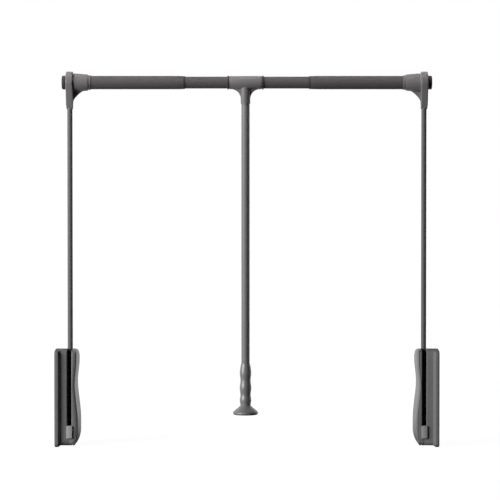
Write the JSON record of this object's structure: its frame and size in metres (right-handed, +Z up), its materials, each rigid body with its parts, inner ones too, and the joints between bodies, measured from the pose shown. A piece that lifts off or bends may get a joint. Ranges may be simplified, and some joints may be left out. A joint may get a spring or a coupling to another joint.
{
  "type": "pull-down closet rod",
  "caption": "Telescopic wardrobe bar on spring-lifted arms that swing down out of wall-mounted housings, with a pull handle hanging from a turning tee",
  "frame": {"origin": "midway between the two side walls, at the middle of the depth, at the foot of the mounting plates", "axes": "+X along the bar to the viewer's right, -Y towards the user, +Z up"},
  "size_m": [0.83, 0.116, 0.8108],
  "materials": {
    "housing_plastic": "fine moulded texture, dark grey",
    "panel_plastic": "fine moulded texture, dark grey",
    "stop_plastic": "lighter grey moulded block",
    "elbow_plastic": "satin moulded, warm dark grey",
    "grip_plastic": "satin moulded, dark grey",
    "black_plastic": "satin moulded, near black",
    "bearing_plastic": "plain natural nylon",
    "slider_plastic": "plain moulded, black",
    "bar_metal": "satin powder coat, warm dark grey",
    "arm_metal": "satin powder coat, dark grey",
    "handle_metal": "satin powder coat, dark grey",
    "black_steel": "blackened",
    "damper_metal": "plain drawn tube",
    "zinc_steel": "zinc plated",
    "spring_steel": "oiled spring wire"
  },
  "bodies": {
    "left_housing": {"left_mounting_plate": "housing_plastic", "left_base_shell": "housing_plastic", "left_cover_shell": "housing_plastic", "left_face_panel": "panel_plastic", "left_housing_screws": "zinc_steel", "left_stop_block": "stop_plastic", "left_pivot_pin": "zinc_steel", "left_pivot_washers": "bearing_plastic", "left_guide_rod": "zinc_steel", "left_lift_spring": "spring_steel", "left_damper_body": "damper_metal"},
    "left_arm": {"left_lever": "black_steel", "left_pivot_bush": "bearing_plastic", "left_arm_tube": "arm_metal", "left_elbow": "elbow_plastic", "left_elbow_screws": "zinc_steel", "left_end_cap": "black_plastic", "left_outer_tube": "bar_metal", "left_guide_bush": "black_plastic"},
    "left_slider": {"left_rack_slider": "slider_plastic", "left_damper_rod": "zinc_steel"},
    "right_housing": {"right_mounting_plate": "housing_plastic", "right_base_shell": "housing_plastic", "right_cover_shell": "housing_plastic", "right_face_panel": "panel_plastic", "right_housing_screws": "zinc_steel", "right_stop_block": "stop_plastic", "right_pivot_pin": "zinc_steel", "right_pivot_washers": "bearing_plastic", "right_guide_rod": "zinc_steel", "right_lift_spring": "spring_steel", "right_damper_body": "damper_metal"},
    "right_arm": {"right_lever": "black_steel", "right_pivot_bush": "bearing_plastic", "right_arm_tube": "arm_metal", "right_elbow": "elbow_plastic", "right_elbow_screws": "zinc_steel", "right_end_cap": "black_plastic", "right_outer_tube": "bar_metal", "right_guide_bush": "black_plastic"},
    "right_slider": {"right_rack_slider": "slider_plastic", "right_damper_rod": "zinc_steel"},
    "centre_rod": {"inner_tube": "bar_metal", "end_guides": "black_plastic", "tee_rings": "black_plastic"},
    "handle": {"tee": "elbow_plastic", "tee_screw": "zinc_steel", "handle_tube": "handle_metal", "grip": "grip_plastic", "handle_foot": "grip_plastic"}
  },
  "joints": [
    {"name": "lift", "type": "hinge", "parent": "left_housing", "child": "left_arm", "pos_m": [-0.383, -0.02, 0.058], "axis": [1, 0, 0], "range_deg": [0, 95], "stiffness_Nm_per_rad": 9, "springref_deg": -68.75},
    {"name": "left_extension", "type": "slide", "parent": "left_arm", "child": "centre_rod", "axis": [1, 0, 0], "range_m": [-0.088, 0.012]},
    {"name": "right_extension", "type": "slide", "parent": "centre_rod", "child": "right_arm", "axis": [1, 0, 0], "range_m": [-0.088, 0.012]},
    {"name": "right_lift", "type": "hinge", "parent": "right_arm", "child": "right_housing", "pos_m": [0.383, -0.02, 0.058], "axis": [1, 0, 0], "range_deg": [-95, 0]},
    {"name": "left_slider_lift", "type": "slide", "parent": "left_housing", "child": "left_slider", "axis": [0, 0, 1], "range_m": [0, 0.02995], "deforming": ["left_lift_spring"]},
    {"name": "right_slider_lift", "type": "slide", "parent": "right_housing", "child": "right_slider", "axis": [0, 0, 1], "range_m": [0, 0.02995], "deforming": ["right_lift_spring"]},
    {"name": "handle_swing", "type": "hinge", "parent": "centre_rod", "child": "handle", "pos_m": [-0.003, -0.02, 0.787], "axis": [1, 0, 0], "continuous": true}
  ],
  "couplings": [
    {"joint": "right_lift", "follows": "lift", "ratio": -1},
    {"joint": "left_slider_lift", "follows": "lift", "m_per_rad": 0.018},
    {"joint": "right_slider_lift", "follows": "lift", "m_per_rad": 0.018}
  ]
}
